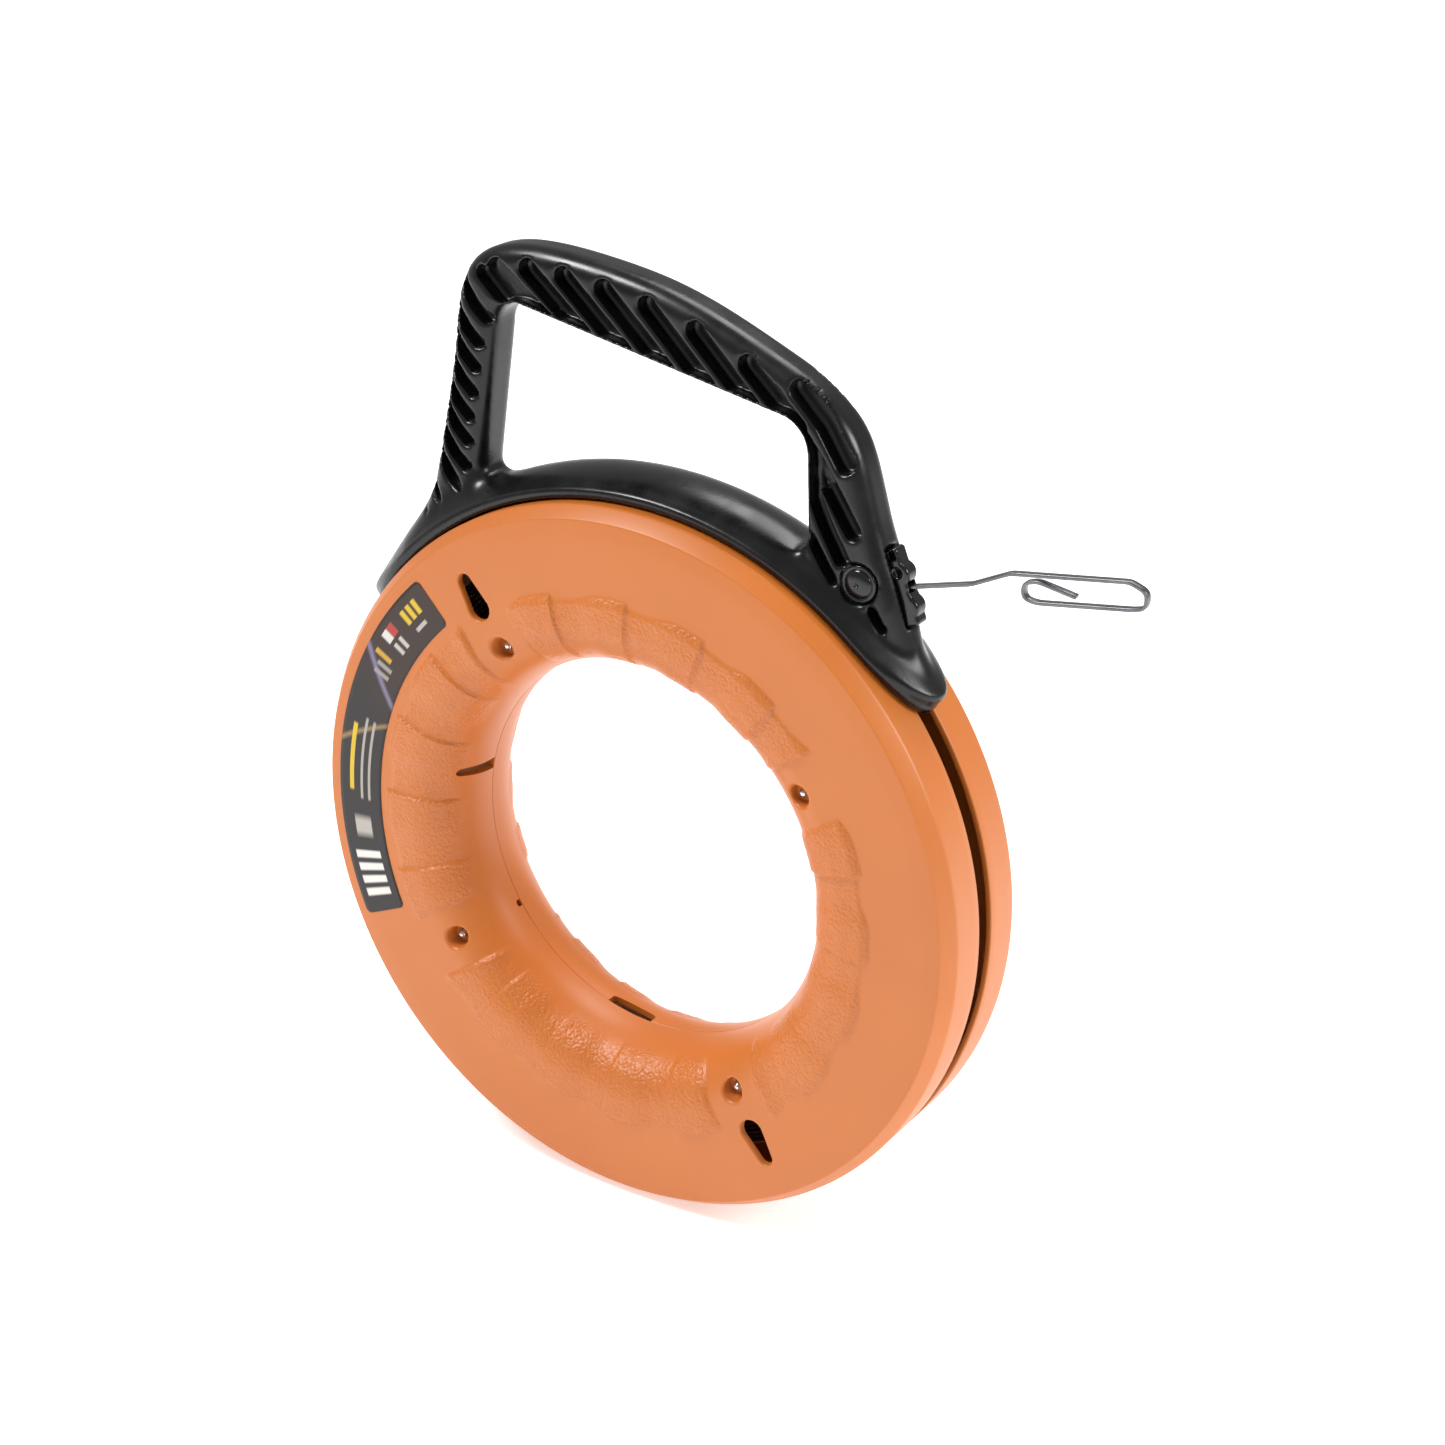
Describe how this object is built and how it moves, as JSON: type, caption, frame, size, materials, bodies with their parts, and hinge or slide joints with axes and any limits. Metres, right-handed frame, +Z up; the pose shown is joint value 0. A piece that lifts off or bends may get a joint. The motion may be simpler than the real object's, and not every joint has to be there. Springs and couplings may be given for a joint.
{
  "type": "fish tape reel",
  "caption": "Round hand reel of wound flat steel pulling tape in a two-part case, with a ribbed carrying handle that rides on the rim and guides the hooked tape end out.",
  "frame": {"origin": "centre of the reel, on its turning axis and on the plane between the two case halves", "axes": "+Y along the reel's turning axis from the front face to the rear face, +Z up through the handle, +X towards the tape exit"},
  "size_m": [0.3636, 0.0618, 0.3975],
  "materials": {
    "orange_case": "moulded satin with pebble-grain grip pads",
    "black_handle": "moulded satin",
    "black_guide": "moulded, smooth",
    "tape_steel": "oil-tempered spring steel",
    "screw_steel": "zinc plated",
    "label_film": "printed film"
  },
  "bodies": {
    "handle": {"handle": "black_handle", "tape_guide": "black_guide", "guide_rivet": "black_guide", "guide_rivet_cap": "black_guide"},
    "reel": {"front_cover": "orange_case", "rear_cover": "orange_case", "case_screws": "screw_steel", "tape_coil": "tape_steel", "label": "label_film"},
    "tape": {"tape_leader": "tape_steel"}
  },
  "joints": [
    {"name": "reel_spin", "type": "hinge", "parent": "handle", "child": "reel", "pos_m": [0, 0, 0], "axis": [0, 1, 0], "continuous": true},
    {"name": "tape_slide", "type": "slide", "parent": "handle", "child": "tape", "axis": [0.9703, 0, 0.2419], "range_m": [-0.022, 0.028]}
  ]
}
